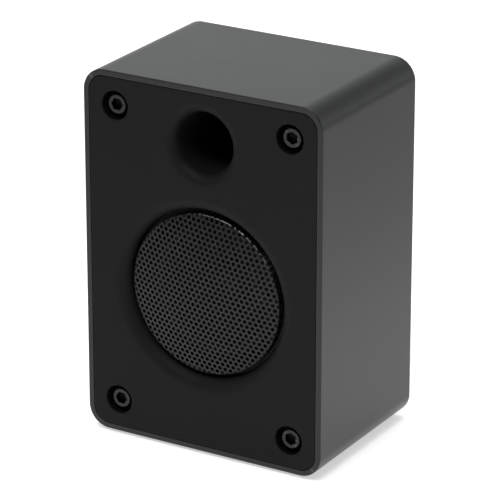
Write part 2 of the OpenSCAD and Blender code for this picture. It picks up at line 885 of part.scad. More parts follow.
module terminal_screws() {
    color([0.3, 0.3, 0.31])
        for (x = [-terminal_screw_x, terminal_screw_x])
            translate([x, front_y + cab_d, terminal_z])
                rotate([90, 0, 0])
                    difference() {
                        union() {
                            cylinder(r1 = 2.75, r2 = terminal_screw_r - 0.05, h = 1.45, $fn = coarse);
                            cylinder(r = terminal_screw_r - 0.05, h = terminal_screw_l, $fn = coarse);
                        }
                        for (turn = [20, 110])
                            rotate([0, 0, turn]) cube([3, 0.7, 1.6], center = true);
                    }
}

// Each contact is a leaf behind its lever's tail, on a strip that leaves through the cup.
module terminal_contacts() {
    leaf_h = 9;
    color([0.8, 0.65, 0.3])
        for (x = [-lever_x, lever_x]) {
            block(x, contact_z - contact_t / 2 + leaf_h / 2, contact_w, leaf_h,
                contact_d - contact_t, contact_t);
            block(x, contact_z, contact_w, contact_t, cup_from - contact_tab,
                contact_d - contact_t / 2 - cup_from + contact_tab);
        }
}

module lever_pin() {
    color([0.7, 0.7, 0.72])
        translate([0, front_y + pivot_d, pivot_z])
            rotate([0, 90, 0])
                cylinder(r = pivot_r, h = cup_w - 1.2, center = true, $fn = coarse);
}

// A lever stands on its barrel, with a grip ledge at the top and a tail down to the contact.
module lever(x) {
    grip_h = 2;
    translate([x, front_y + pivot_d, pivot_z])
        difference() {
            union() {
                rotate([0, 90, 0])
                    cylinder(r = barrel_r, h = lever_w, center = true, $fn = coarse);
                translate([-lever_w / 2, lever_back - pivot_d, 0])
                    cube([lever_w, lever_t, lever_h]);
                translate([-lever_w / 2, 0, 0])
                    cube([lever_w, lever_back - pivot_d + over, barrel_r]);
                translate([-contact_w / 2, -tail_reach - tail_t / 2, -barrel_r / 2])
                    cube([contact_w, tail_reach, barrel_r]);
                translate([-contact_w / 2, -tail_reach - tail_t / 2, -tail_drop])
                    cube([contact_w, tail_t, tail_drop]);
            }
            rotate([0, 90, 0])
                cylinder(r = pivot_r + pivot_gap, h = lever_w + 1, center = true, $fn = coarse);
            for (k = [1 : 3])
                translate([0, lever_face - pivot_d, lever_h - k * grip_h])
                    cube([lever_w - 4, 0.8, 0.8], center = true);
        }
}
module lever_red() color([0.6, 0.05, 0.05]) lever(-lever_x);
module lever_black() color([0.1, 0.1, 0.1]) lever(lever_x);

module lever_springs() {
    from = cup_back + spring_wire_r + 0.02;
    to = lever_back - spring_wire_r - 0.02;
    per_turn = 14;
    count = per_turn * spring_turns;
    color([0.75, 0.75, 0.77])
        for (x = [-lever_x, lever_x])
            tube([for (i = [0 : count])
                    [x + spring_r * cos(360 * i / per_turn),
                        front_y + from + (to - from) * i / count,
                        spring_z + spring_r * sin(360 * i / per_turn)]],
                spring_wire_r, 8, [0, 1, 0]);
}

// ---- Inside --------------------------------------------------------------------------

// The route of a hook-up wire from a tag to a contact: distance along, and height between.
module hookup_wire(side) {
    wire_r = 0.9;
    from_d = tag_d + tag_tail;
    to_d = cup_from - contact_tab;
    from_z = driver_z - tag_drop + tag_t / 2;
    run = to_d - from_d;
    low_z = foot_h + 13;
    tube(smooth_path([for (p = [
                [0, 0, from_z], [0.06, 0, from_z], [0.12, 0, from_z],
                [0.3, 0.3, (from_z + low_z) / 2], [0.46, 0.7, low_z], [0.62, 1, low_z],
                [0.76, 1, (contact_z + low_z) / 2], [0.87, 1, contact_z],
                [0.94, 1, contact_z], [1, 1, contact_z]
            ]) [side * (tag_x + (lever_x - tag_x) * p[1]), front_y + from_d + run * p[0], p[2]]], 3),
        wire_r, 8, [1, 0, 0]);
}
module wire_red() color([0.6, 0.05, 0.05]) hookup_wire(-1);
module wire_black() color([0.08, 0.08, 0.08]) hookup_wire(1);

module damping_foam() {
    foam_t = 7;
    foam_from = sleeve_from + 6;
    foam_to = sleeve_to - 4;
    color([0.25, 0.25, 0.26])
        for (x = [-1, 1])
            block(x * (room_w / 2 - foam_t / 2), mid_z, foam_t, 2 * (screw_z - channel_r - 10),
                foam_from, foam_to - foam_from);
}

cabinet_shell();
rubber_feet();
front_baffle();
baffle_gasket();
front_screws();
grille();
grille_ring();
port_tube();
driver_frame();
driver_gasket();
driver_screws();
driver_surround();
driver_cone();
dust_cap();
coil_former();
voice_coil();
spider();
motor_front_plate();
magnet();
motor_back_plate();
driver_tag_strip();
driver_tags();
tinsel_leads();
rear_panel();
rear_gasket();
rear_screws();
bracket_inserts();
terminal_housing();
terminal_gasket();
terminal_screws();
terminal_contacts();
lever_pin();
lever_red();
lever_black();
lever_springs();
wire_red();
wire_black();
damping_foam();
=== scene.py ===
"""The looks of a small bookshelf loudspeaker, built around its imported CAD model."""
import json
import math

import bmesh
import bpy
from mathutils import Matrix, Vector


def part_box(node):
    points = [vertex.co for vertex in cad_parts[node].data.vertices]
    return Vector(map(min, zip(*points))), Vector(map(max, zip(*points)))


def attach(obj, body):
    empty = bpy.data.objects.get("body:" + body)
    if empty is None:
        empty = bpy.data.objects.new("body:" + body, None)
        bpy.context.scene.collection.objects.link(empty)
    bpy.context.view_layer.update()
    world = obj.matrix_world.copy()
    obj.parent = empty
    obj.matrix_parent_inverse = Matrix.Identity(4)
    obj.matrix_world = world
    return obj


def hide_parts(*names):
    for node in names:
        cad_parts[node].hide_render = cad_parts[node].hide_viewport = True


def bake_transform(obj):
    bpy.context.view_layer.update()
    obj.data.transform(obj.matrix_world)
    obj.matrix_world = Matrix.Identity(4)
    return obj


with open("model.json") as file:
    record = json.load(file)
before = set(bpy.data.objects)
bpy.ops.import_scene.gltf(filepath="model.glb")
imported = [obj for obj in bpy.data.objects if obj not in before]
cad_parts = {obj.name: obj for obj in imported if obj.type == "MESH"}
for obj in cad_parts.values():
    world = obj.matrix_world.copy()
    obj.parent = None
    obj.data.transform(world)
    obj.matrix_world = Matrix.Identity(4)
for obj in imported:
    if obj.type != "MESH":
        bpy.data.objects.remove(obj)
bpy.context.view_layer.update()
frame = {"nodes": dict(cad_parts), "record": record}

MM = 0.001

# ---- Sizes, taken from the CAD boxes ---------------------------------------------------

shell_low, shell_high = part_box("cabinet_shell")
baffle_low, baffle_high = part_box("front_baffle")
grille_low, grille_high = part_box("grille")
tube_low, tube_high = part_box("port_tube")
screws_low, screws_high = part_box("front_screws")
felt_low, felt_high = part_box("grille_ring")

FRONT = shell_low.y
BACK = shell_high.y
WIDTH = shell_high.x - shell_low.x
HEIGHT = shell_high.z - shell_low.z
DEPTH = BACK - FRONT
MID_Z = (shell_low.z + shell_high.z) / 2

CORNER = 10 * MM
RIM = 2.5 * MM
WALL = 4.5 * MM
SEAM = baffle_low.x - shell_low.x - RIM
BAFFLE_T = 12 * MM
GASKET = 1 * MM
REAR_T = 6 * MM

DRIVER_Z = (grille_low.z + grille_high.z) / 2
GRILLE_R = (grille_high.x - grille_low.x) / 2
GRILLE_APEX = grille_low.y - FRONT
GRILLE_END = grille_high.y - FRONT
DOME_R = 170 * MM
WELL_R = GRILLE_R + 1.8 * MM
WELL_FLARE = 6 * MM
WELL_DEPTH = felt_high.y - FRONT
THROAT_R = WELL_R - 4 * MM

PORT_Z = (tube_low.z + tube_high.z) / 2
PORT_R = 13.4 * MM
PORT_FLARE = 5 * MM
PORT_WALL = 2 * MM
TUBE_FROM = tube_low.y - FRONT
TUBE_TO = tube_high.y - FRONT
COLLAR_TO = baffle_high.y - FRONT

HEAD_R = 4.25 * MM
HEAD_H = 5 * MM
HEAD_SUNK = screws_low.y - FRONT
SCREW_R = 2.45 * MM
SCREW_TO = screws_high.y - FRONT
SOCKET_R = 2.45 * MM
COUNTERBORE_R = 6.4 * MM
SCREW_HOLE_R = 2.75 * MM
SCREW_X = screws_high.x - HEAD_R
SCREW_Z = (screws_high.z - screws_low.z) / 2 - HEAD_R

ROLL = 0.4 * MM
HOLE_PITCH = 2.476 * MM
HOLE_R = 0.87 * MM
HOLE_TURN = math.radians(-7.5)
HOLE_ALONG = 0.114 * MM
HOLE_ACROSS = 1.94 * MM

# ---- Node helper -----------------------------------------------------------------------


def math_node(tree, operation, *operands):
    """A Math node whose operands are sockets or plain numbers."""
    node = tree.nodes.new("ShaderNodeMath")
    node.operation = operation
    for slot, value in zip(node.inputs, operands):
        if isinstance(value, (int, float)):
            slot.default_value = value
        else:
            tree.links.new(value, slot)
    return node.outputs[0]


# ---- Camera and stage ------------------------------------------------------------------

AZIMUTH = math.radians(30.73)
ELEVATION = math.radians(21.14)
DISTANCE = 1.4015
LENS_MM = 237.3
TARGET = Vector((2.69 * MM, FRONT + 34.5 * MM, shell_low.z + 81.1 * MM))


def aim(obj, place, target):
    """Puts an object at a place and turns its -Z towards a target, with its top upwards."""
    obj.location = place
    obj.rotation_euler = (target - place).to_track_quat("-Z", "Y").to_euler()


def make_camera():
    data = bpy.data.cameras.new("camera")
    data.lens = LENS_MM
    data.sensor_width = 36
    data.clip_start = 0.01
    data.clip_end = 100
    camera = bpy.data.objects.new("camera", data)
    bpy.context.scene.collection.objects.link(camera)
    towards = Vector((
        math.sin(AZIMUTH) * math.cos(ELEVATION),
        -math.cos(AZIMUTH) * math.cos(ELEVATION),
        math.sin(ELEVATION),
    ))
    aim(camera, TARGET + DISTANCE * towards, TARGET)
    bpy.context.scene.camera = camera


def make_softbox(name, place, target, width, height, power):
    data = bpy.data.lights.new(name, "AREA")
    data.shape = "RECTANGLE"
    data.size = width
    data.size_y = height
    data.energy = power
    light = bpy.data.objects.new(name, data)
    bpy.context.scene.collection.objects.link(light)
    aim(light, Vector(place), Vector(target))


def smooth_ramp(tree, value, start, stop, first, last):
    """Changes smoothly from first to last as a value goes from start to stop."""
    ramp = tree.nodes.new("ShaderNodeMapRange")
    ramp.interpolation_type = "SMOOTHSTEP"
    ramp.inputs["From Min"].default_value = start
    ramp.inputs["From Max"].default_value = stop
    ramp.inputs["To Min"].default_value = first
    ramp.inputs["To Max"].default_value = last
    tree.links.new(value, ramp.inputs["Value"])
    return ramp.outputs["Result"]


def make_world():
    """A studio that is bright low down and at the left, and dark overhead and in front."""
    world = bpy.data.worlds.new("studio")
    world.use_nodes = True
    tree = world.node_tree
    background = tree.nodes["Background"]
    split = tree.nodes.new("ShaderNodeSeparateXYZ")
    tree.links.new(tree.nodes.new("ShaderNodeTexCoord").outputs["Generated"], split.inputs["Vector"])
    tilt = 0.35
    lifted = math_node(tree, "MULTIPLY_ADD", split.outputs["X"], tilt, split.outputs["Z"])
    screen = smooth_ramp(tree, lifted, start=0.22, stop=0.86, first=0.97, last=0.1)
    room = smooth_ramp(tree, split.outputs["Y"], start=-0.6, stop=0.3, first=0.15, last=1.0)
    tree.links.new(math_node(tree, "MULTIPLY", screen, room), background.inputs["Strength"])
    background.inputs["Color"].default_value = (0.97, 0.985, 1.0, 1)
    bpy.context.scene.world = world


def make_floor():
    """A pale table that glows a little, and less to the left and right of the cabinet."""
    reach = 6.0
    mesh = bpy.data.meshes.new("floor")
    corners = [(-reach, -reach, 0), (reach, -reach, 0), (reach, reach, 0), (-reach, reach, 0)]
    mesh.from_pydata(corners, [], [(0, 1, 2, 3)])
    floor = bpy.data.objects.new("floor", mesh)
    bpy.context.scene.collection.objects.link(floor)
    pale = bpy.data.materials.new("pale_floor")
    pale.use_nodes = True
    tree = pale.node_tree
    shader = tree.nodes["Principled BSDF"]
    shader.inputs["Base Color"].default_value = (0.9, 0.9, 0.9, 1)
    shader.inputs["Roughness"].default_value = 0.9
    shader.inputs["Specular IOR Level"].default_value = 0.1
    shader.inputs["Emission Strength"].default_value = 1.0
    along = tree.nodes.new("ShaderNodeVectorMath")
    along.operation = "DOT_PRODUCT"
    along.inputs[1].default_value = (math.cos(AZIMUTH), math.sin(AZIMUTH), 0)
    tree.links.new(tree.nodes.new("ShaderNodeTexCoord").outputs["Object"], along.inputs[0])
    right = smooth_ramp(tree, along.outputs["Value"], start=0.08, stop=0.4, first=0.5, last=0.04)
    left = smooth_ramp(tree, along.outputs["Value"], start=-0.4, stop=-0.1, first=0.2, last=0.5)
    tree.links.new(math_node(tree, "MINIMUM", right, left), shader.inputs["Emission Color"])
    mesh.materials.append(pale)


def make_stage():
    bpy.context.scene.view_settings.view_transform = "Standard"
    make_world()
    make_floor()
    middle = (0, 0, MID_Z)
    make_softbox("top_box", (0.1, 0.3, 1.5), middle, 1.2, 1.2, 10)
    make_softbox("right_box", (1.5, 0.35, 0.6), middle, 1.0, 1.2, 3)
    make_softbox("left_box", (-1.2, -0.9, 0.6), middle, 0.8, 1.0, 1)
    make_softbox("front_box", (-0.05, -0.85, 1.65), middle, 1.0, 0.6, 13)
    make_softbox("glint_box", (0.62, -1.04, 1.6), middle, 0.9, 0.1, 3)


make_camera()
make_stage()

# ---- Shader groups that several finishes share -----------------------------------------


def new_group(name, inputs, outputs):
    """An empty shader group. Inputs are name, kind, default; outputs are name, kind."""
    group = bpy.data.node_groups.new(name, "ShaderNodeTree")
    for label, kind, value in inputs:
        socket = group.interface.new_socket(label, in_out="INPUT", socket_type="NodeSocket" + kind)
        if value is not None:
            socket.default_value = value
    for label, kind in outputs:
        group.interface.new_socket(label, in_out="OUTPUT", socket_type="NodeSocket" + kind)
    return group, group.nodes.new("NodeGroupInput"), group.nodes.new("NodeGroupOutput")


def scaled(tree, vector, factor):
    node = tree.nodes.new("ShaderNodeVectorMath")
    node.operation = "SCALE"
    tree.links.new(vector, node.inputs[0])
    tree.links.new(factor, node.inputs["Scale"])
    return node.outputs[0]


def noise(tree, vector, detail=2.0, roughness=0.5, scale=1.0):
    node = tree.nodes.new("ShaderNodeTexNoise")
    node.inputs["Scale"].default_value = scale
    node.inputs["Detail"].default_value = detail
    node.inputs["Roughness"].default_value = roughness
    tree.links.new(vector, node.inputs["Vector"])
    return node.outputs["Fac"]


def make_grain_group():
    """Grain of a mould or a powder coat: a height, and a speckle from 0 to 1."""
    group, given, result = new_group(
        "surface_grain",
        [("Vector", "Vector", None), ("Grains per metre", "Float", 3000.0), ("Pits", "Float", 0.4)],
        [("Height", "Float"), ("Speckle", "Float")],
    )
    at = scaled(group, given.outputs["Vector"], given.outputs["Grains per metre"])
    lumps = noise(group, at, detail=3, roughness=0.6)
    cells = group.nodes.new("ShaderNodeTexVoronoi")
    cells.inputs["Scale"].default_value = 0.8
    group.links.new(at, cells.inputs["Vector"])
    pits = math_node(group, "MULTIPLY", cells.outputs["Distance"], given.outputs["Pits"])
    group.links.new(math_node(group, "ADD", lumps, pits), result.inputs["Height"])
    group.links.new(lumps, result.inputs["Speckle"])
    return group


def make_wear_group():
    """Edges worn bright, and a slow cloud of handling marks, both from 0 to 1."""
    group, given, result = new_group(
        "handling",
        [("Vector", "Vector", None), ("Edge", "Float", 0.55), ("Clouds per metre", "Float", 40.0)],
        [("Edge wear", "Float"), ("Cloud", "Float")],
    )
    shape = group.nodes.new("ShaderNodeNewGeometry")
    at = scaled(group, given.outputs["Vector"], given.outputs["Clouds per metre"])
    cloud = noise(group, at, detail=4, roughness=0.6)
    broken = noise(group, at, detail=2, scale=12.0)
    above = math_node(group, "SUBTRACT", shape.outputs["Pointiness"], given.outputs["Edge"])
    edge = math_node(group, "MULTIPLY", above, 14.0)
    worn = group.nodes.new("ShaderNodeMath")
    worn.operation = "MULTIPLY"
    worn.use_clamp = True
    group.links.new(edge, worn.inputs[0])
    group.links.new(broken, worn.inputs[1])
    group.links.new(worn.outputs[0], result.inputs["Edge wear"])
    group.links.new(cloud, result.inputs["Cloud"])
    return group


def make_weave_group():
    """Cloth woven over and under: a height, and a mask of its gaps, which the finishes darken as painted
    shade.
    """
    group, given, result = new_group(
        "plain_weave",
        [("Vector", "Vector", None), ("Threads per metre", "Float", 2500.0)],
        [("Height", "Float"), ("Gap", "Float")],
    )
    at = scaled(group, given.outputs["Vector"], given.outputs["Threads per metre"])
    split = group.nodes.new("ShaderNodeSeparateXYZ")
    group.links.new(at, split.inputs[0])
    across = math_node(group, "SINE", math_node(group, "MULTIPLY", split.outputs["X"], math.pi))
    along = math_node(group, "SINE", math_node(group, "MULTIPLY", split.outputs["Z"], math.pi))
    crossed = math_node(group, "MULTIPLY", across, along)
    height = math_node(group, "ABSOLUTE", crossed)
    group.links.new(height, result.inputs["Height"])
    group.links.new(math_node(group, "LESS_THAN", height, 0.08), result.inputs["Gap"])
    return group


def make_lattice_group():
    """Discs on a triangular lattice facing -Y: 1 inside them, 0 outside."""
    group, given, result = new_group(
        "disc_lattice",
        [
            ("Vector", "Vector", None), ("Middle", "Vector", (0, 0, 0)), ("Turn", "Float", 0.0),
            ("Pitch", "Float", 0.0025), ("Disc radius", "Float", 0.0008), ("Along", "Float", 0.0),
            ("Across", "Float", 0.0),
        ],
        [("Mask", "Float")],
    )
    turned = group.nodes.new("ShaderNodeVectorRotate")
    turned.rotation_type = "Y_AXIS"
    group.links.new(given.outputs["Vector"], turned.inputs["Vector"])
    group.links.new(given.outputs["Middle"], turned.inputs["Center"])
    group.links.new(given.outputs["Turn"], turned.inputs["Angle"])
    local = group.nodes.new("ShaderNodeVectorMath")
    local.operation = "SUBTRACT"
    group.links.new(turned.outputs[0], local.inputs[0])
    group.links.new(given.outputs["Middle"], local.inputs[1])
    split = group.nodes.new("ShaderNodeSeparateXYZ")
    group.links.new(local.outputs[0], split.inputs[0])
    half = math_node(group, "MULTIPLY", given.outputs["Pitch"], 0.5)
    row = math_node(group, "MULTIPLY", given.outputs["Pitch"], math.sqrt(3) / 2)
    along = math_node(group, "SUBTRACT", split.outputs["X"], given.outputs["Along"])
    across = math_node(group, "SUBTRACT", split.outputs["Z"], given.outputs["Across"])

    def wrapped(value, reach):
        offset = math_node(group, "WRAP", value, reach, math_node(group, "MULTIPLY", reach, -1.0))
        return math_node(group, "POWER", math_node(group, "ABSOLUTE", offset), 2.0)

    even_rows = math_node(group, "ADD", wrapped(along, half), wrapped(across, row))
    odd_rows = math_node(
        group, "ADD",
        wrapped(math_node(group, "SUBTRACT", along, half), half),
        wrapped(math_node(group, "SUBTRACT", across, row), row),
    )
    nearest = math_node(group, "SQRT", math_node(group, "MINIMUM", even_rows, odd_rows))
    inside = math_node(group, "LESS_THAN", nearest, given.outputs["Disc radius"])
    group.links.new(inside, result.inputs["Mask"])
    return group


GRAIN = make_grain_group()
HANDLING = make_wear_group()
WEAVE = make_weave_group()
LATTICE = make_lattice_group()

# ---- Finishes --------------------------------------------------------------------------


def place_group(tree, group, **values):
    node = tree.nodes.new("ShaderNodeGroup")
    node.node_tree = group
    for label, value in values.items():
        node.inputs[label.replace("_", " ")].default_value = value
    return node


def mixed(tree, factor, first, second):
    """A colour between two, each a plain colour or a socket."""
    node = tree.nodes.new("ShaderNodeMix")
    node.data_type = "RGBA"
    tree.links.new(factor, node.inputs["Factor"])
    for label, value in (("A", first), ("B", second)):
        socket = [s for s in node.inputs if s.name == label and s.type == "RGBA"][0]
        if isinstance(value, tuple):
            socket.default_value = (*value, 1)
        else:
            tree.links.new(value, socket)
    return [s for s in node.outputs if s.type == "RGBA"][0]


def between(tree, value, low, high):
    """Spreads a value that runs from 0 to 1 over a range."""
    node = tree.nodes.new("ShaderNodeMapRange")
    node.inputs["To Min"].default_value = low
    node.inputs["To Max"].default_value = high
    tree.links.new(value, node.inputs["Value"])
    return node.outputs["Result"]


def finish(name, colour, roughness, metallic=0.0, grains=3000.0, bump_mm=0.004, speckle=0.15,
           edge_colour=None, spread=0.06, specular=0.5, coat=0.0, sheen=0.0, weave=0.0, pits=0.4,
           clouds=40.0, shaded=False):
    """A finish with grain, clouded roughness and worn edges, blackened as painted shade where its shade
    attribute is set.
    """
    material = bpy.data.materials.new(name)
    material.use_nodes = True
    tree = material.node_tree
    shader = tree.nodes["Principled BSDF"]
    where = tree.nodes.new("ShaderNodeTexCoord").outputs["Object"]
    grain = place_group(tree, GRAIN, Grains_per_metre=grains, Pits=pits)
    handling = place_group(tree, HANDLING, Clouds_per_metre=clouds)
    tree.links.new(where, grain.inputs["Vector"])
    tree.links.new(where, handling.inputs["Vector"])
    darker = tuple(c * (1 - speckle) for c in colour)
    lighter = tuple(min(1.0, c * (1 + speckle)) for c in colour)
    paint = mixed(tree, grain.outputs["Speckle"], darker, lighter)
    if edge_colour:
        paint = mixed(tree, handling.outputs["Edge wear"], paint, edge_colour)
    height = grain.outputs["Height"]
    if weave:
        cloth = place_group(tree, WEAVE, Threads_per_metre=weave)
        tree.links.new(where, cloth.inputs["Vector"])
        # Painted shade: the gaps between threads are darkened to 0.4 of the colour.
        paint = mixed(tree, cloth.outputs["Gap"], paint, tuple(c * 0.4 for c in colour))
        height = math_node(tree, "ADD", height, math_node(tree, "MULTIPLY", cloth.outputs["Height"], 3.0))
    # Painted shade: where the shade attribute is set, the colour goes to near black, and further down metal
    # stops being metal there.
    if shaded:
        depth = tree.nodes.new("ShaderNodeAttribute")
        depth.attribute_name = "shade"
        paint = mixed(tree, depth.outputs["Fac"], paint, (0.0006, 0.0006, 0.0006))
    tree.links.new(paint, shader.inputs["Base Color"])
    tree.links.new(
        between(tree, handling.outputs["Cloud"], roughness - spread, roughness + spread),
        shader.inputs["Roughness"],
    )
    bump = tree.nodes.new("ShaderNodeBump")
    bump.inputs["Distance"].default_value = bump_mm * MM
    tree.links.new(height, bump.inputs["Height"])
    tree.links.new(bump.outputs["Normal"], shader.inputs["Normal"])
    shader.inputs["Metallic"].default_value = metallic
    if shaded and metallic:
        glint_or_unshaded = math_node(tree, "SUBTRACT", 1.0, depth.outputs["Fac"])
        tree.links.new(math_node(tree, "MULTIPLY", glint_or_unshaded, metallic), shader.inputs["Metallic"])
    shader.inputs["Specular IOR Level"].default_value = specular
    shader.inputs["Coat Weight"].default_value = coat
    shader.inputs["Coat Roughness"].default_value = 0.3
    shader.inputs["Sheen Weight"].default_value = sheen
    return material


FINISHES = {
    "sleeve": finish(
        "satin_sleeve", (0.0085, 0.009, 0.0087), 0.34, grains=5200, bump_mm=0.002, speckle=0.1,
        edge_colour=(0.06, 0.062, 0.06), spread=0.03, clouds=25, specular=0.4,
    ),
    "baffle": finish(
        "moulded_baffle", (0.0078, 0.0078, 0.0079), 0.6, grains=3400, bump_mm=0.006, speckle=0.25,
        edge_colour=(0.03, 0.03, 0.03), spread=0.05, specular=0.13, shaded=True,
    ),
    "rubber": finish("foot_rubber", (0.02, 0.02, 0.02), 0.8, grains=4000, specular=0.3),
    "foam_seal": finish("seal_foam", (0.03, 0.03, 0.03), 0.95, grains=1500, bump_mm=0.08, pits=1.2),
    "black_screw": finish(
        "blackened_steel", (0.044, 0.044, 0.046), 0.38, metallic=0.9, specular=0.1, grains=6000,
        bump_mm=0.002, edge_colour=(0.16, 0.16, 0.165), shaded=True,
    ),
    "zinc_screw": finish("zinc_plate", (0.5, 0.5, 0.52), 0.32, metallic=1, grains=4000, bump_mm=0.002),
    "grille_metal": finish(
        "painted_grille", (0.0018, 0.0018, 0.0019), 0.3, grains=5000, bump_mm=0.002,
        edge_colour=(0.03, 0.03, 0.031), spread=0.04, specular=0.27,
    ),
    "felt": finish("black_felt", (0.004, 0.004, 0.004), 0.95, grains=9000, bump_mm=0.05, sheen=0.3),
    "port_plastic": finish("port_black", (0.0085, 0.0085, 0.0086), 0.6, specular=0.14),
    "frame_metal": finish("frame_paint", (0.03, 0.03, 0.032), 0.45, edge_colour=(0.12, 0.12, 0.12)),
    "surround_rubber": finish("surround_rubber", (0.006, 0.006, 0.006), 0.6, grains=2500, sheen=0.1),
    "cone_paper": finish(
        "pressed_pulp", (0.008, 0.008, 0.0084), 0.85, grains=1800, bump_mm=0.03, speckle=0.4, sheen=0.1,
    ),
    "cap_cloth": finish("cap_cloth", (0.012, 0.012, 0.012), 0.7, weave=2200, bump_mm=0.02),
    "former_paper": finish("kraft_paper", (0.1, 0.07, 0.035), 0.7, grains=2500, speckle=0.2),
    "copper": finish("enamelled_copper", (0.1, 0.035, 0.015), 0.45, metallic=0.4, coat=0.2),
    "spider_cloth": finish("dipped_cloth", (0.12, 0.08, 0.03), 0.75, weave=1800, bump_mm=0.03),
    "motor_steel": finish("motor_zinc", (0.42, 0.42, 0.44), 0.35, metallic=1, grains=2000),
    "ferrite": finish("ground_ferrite", (0.03, 0.03, 0.033), 0.55, grains=1600, speckle=0.3),
    "tag_board": finish("phenolic_board", (0.2, 0.08, 0.03), 0.5, weave=1500, bump_mm=0.01),
    "brass": finish(
        "bright_brass", (0.72, 0.5, 0.2), 0.25, metallic=1, grains=3000, bump_mm=0.002,
        edge_colour=(0.85, 0.66, 0.35),
    ),
    "rear_plastic": finish(
        "moulded_rear", (0.0125, 0.0125, 0.013), 0.58, grains=2600, bump_mm=0.01, speckle=0.25,
        edge_colour=(0.03, 0.03, 0.03), specular=0.3,
    ),
    "terminal_plastic": finish(
        "terminal_black", (0.01, 0.01, 0.0105), 0.4, grains=2200, bump_mm=0.004,
        edge_colour=(0.03, 0.03, 0.03),
    ),
    "lever_red": finish("lever_red", (0.42, 0.012, 0.01), 0.32, grains=1800, edge_colour=(0.5, 0.05, 0.04)),
    "lever_black": finish(
        "lever_black", (0.012, 0.012, 0.012), 0.32, grains=1800, edge_colour=(0.03, 0.03, 0.03),
    ),
    "pin_steel": finish("pin_steel", (0.55, 0.55, 0.56), 0.25, metallic=1),
    "spring_steel": finish("spring_steel", (0.5, 0.5, 0.5), 0.28, metallic=1),
    "wire_red": finish("wire_red", (0.4, 0.01, 0.01), 0.45),
    "wire_black": finish("wire_black", (0.012, 0.012, 0.012), 0.45),
    "wadding": finish(
        "grey_wadding", (0.09, 0.09, 0.095), 0.95, grains=900, bump_mm=0.3, pits=1.2, sheen=0.2,
    ),
}


def paint_hole_shade_and_glint(material):
    """Paints the shade of the grille's holes black where they run out over the rolled edge, and paints a
    glint on that edge as bright metal.
    """
    tree = material.node_tree
    shader = tree.nodes["Principled BSDF"]
    where = tree.nodes.new("ShaderNodeTexCoord").outputs["Object"]
    middle = (0, 0, DRIVER_Z)

    def repaint(mask, colour, roughness):
        for label, value in (("Base Color", colour), ("Roughness", roughness)):
            plain = shader.inputs[label].links[0].from_socket
            tree.links.new(mixed(tree, mask, plain, (value, value, value)), shader.inputs[label])

    def vector_math(operation, vector, constant):
        node = tree.nodes.new("ShaderNodeVectorMath")
        node.operation = operation
        node.inputs[1].default_value = constant
        tree.links.new(vector, node.inputs[0])
        return node.outputs

    # Painted shade: black, matt discs on the lattice of the holes, which show on the rolled edge where the
    # holes run out.
    holes = place_group(
        tree, LATTICE, Middle=middle, Turn=HOLE_TURN, Pitch=HOLE_PITCH, Disc_radius=HOLE_R,
        Along=HOLE_ALONG, Across=HOLE_ACROSS,
    )
    tree.links.new(where, holes.inputs["Vector"])
    repaint(holes.outputs["Mask"], colour=0.001, roughness=1)

    # Painted glint: the rolled edge between the holes, made bright metal towards the upper right only
    slope = (0.42, 0, 0.907)
    glint_from = 27 * MM
    glint_to = 33 * MM
    flat = vector_math("MULTIPLY", where, (1, 0, 1))["Vector"]
    reach = vector_math("DISTANCE", flat, middle)["Value"]
    rolled = math_node(tree, "GREATER_THAN", reach, GRILLE_R - ROLL - 0.02 * MM)
    solid = math_node(tree, "SUBTRACT", 1.0, holes.outputs["Mask"])
    glint_band = tree.nodes.new("ShaderNodeMapRange")
    glint_band.inputs["From Min"].default_value = DRIVER_Z * slope[2] + glint_from
    glint_band.inputs["From Max"].default_value = DRIVER_Z * slope[2] + glint_to
    tree.links.new(vector_math("DOT_PRODUCT", flat, slope)["Value"], glint_band.inputs["Value"])
    glint_or_unshaded = math_node(tree, "MULTIPLY", rolled, solid)
    glint_or_unshaded = math_node(tree, "MULTIPLY", glint_or_unshaded, glint_band.outputs["Result"])
    repaint(glint_or_unshaded, colour=0.22, roughness=0.3)
    tree.links.new(glint_or_unshaded, shader.inputs["Metallic"])


paint_hole_shade_and_glint(FINISHES["grille_metal"])


def dress_nodes():
    """Gives every CAD node the finish of its slot."""
    for part in frame["record"]["subparts"]:
        node = frame["nodes"][part["node"]]
        node.data.materials.clear()
        node.data.materials.append(FINISHES[part["material_slot"]])


dress_nodes()

# ---- Mesh helpers ----------------------------------------------------------------------


def circle(x, z, radius, depth, count):
    """Points round a circle at a depth behind the front face, anticlockwise from the front."""
    return [
        Vector((
            x + radius * math.cos(2 * math.pi * k / count),
            FRONT + depth,
            z + radius * math.sin(2 * math.pi * k / count),
        ))
        for k in range(count)
    ]


def outline(inset, depth, per_corner=24):
    """Points round the cabinet's outline, drawn in by an inset, anticlockwise from the front."""
    radius = max(CORNER - inset, 0.2 * MM)
    half_x = WIDTH / 2 - inset - radius
    half_z = HEIGHT / 2 - inset - radius
    points = []
    for quarter, (sx, sz) in enumerate(((1, 1), (-1, 1), (-1, -1), (1, -1))):
        for k in range(per_corner + 1):
            angle = math.radians(90 * (quarter + k / per_corner))
            points.append(Vector((
                sx * half_x + radius * math.cos(angle),
                FRONT + depth,
                MID_Z + sz * half_z + radius * math.sin(angle),
            )))
    return points


def arc(centre, radius, start, stop, steps):
    """Pairs along an arc, angles in degrees."""
    return [
        (
            centre[0] + radius * math.cos(math.radians(start + (stop - start) * k / steps)),
            centre[1] + radius * math.sin(math.radians(start + (stop - start) * k / steps)),
        )
        for k in range(steps + 1)
    ]


def add_ring(bm, points):
    return [bm.verts.new(p) for p in points]


def bridge(bm, first, second):
    """Faces between two rings of the same count."""
    count = len(first)
    for k in range(count):
        n = (k + 1) % count
        bm.faces.new((first[k], first[n], second[n], second[k]))


def chain(bm, rings):
    for first, second in zip(rings, rings[1:]):
        bridge(bm, first, second)


def lathe_rings(bm, x, z, profile, count):
    """Rings of a profile of radius and depth, turned about an axis along y."""
    return [add_ring(bm, circle(x, z, radius, depth, count)) for radius, depth in profile]


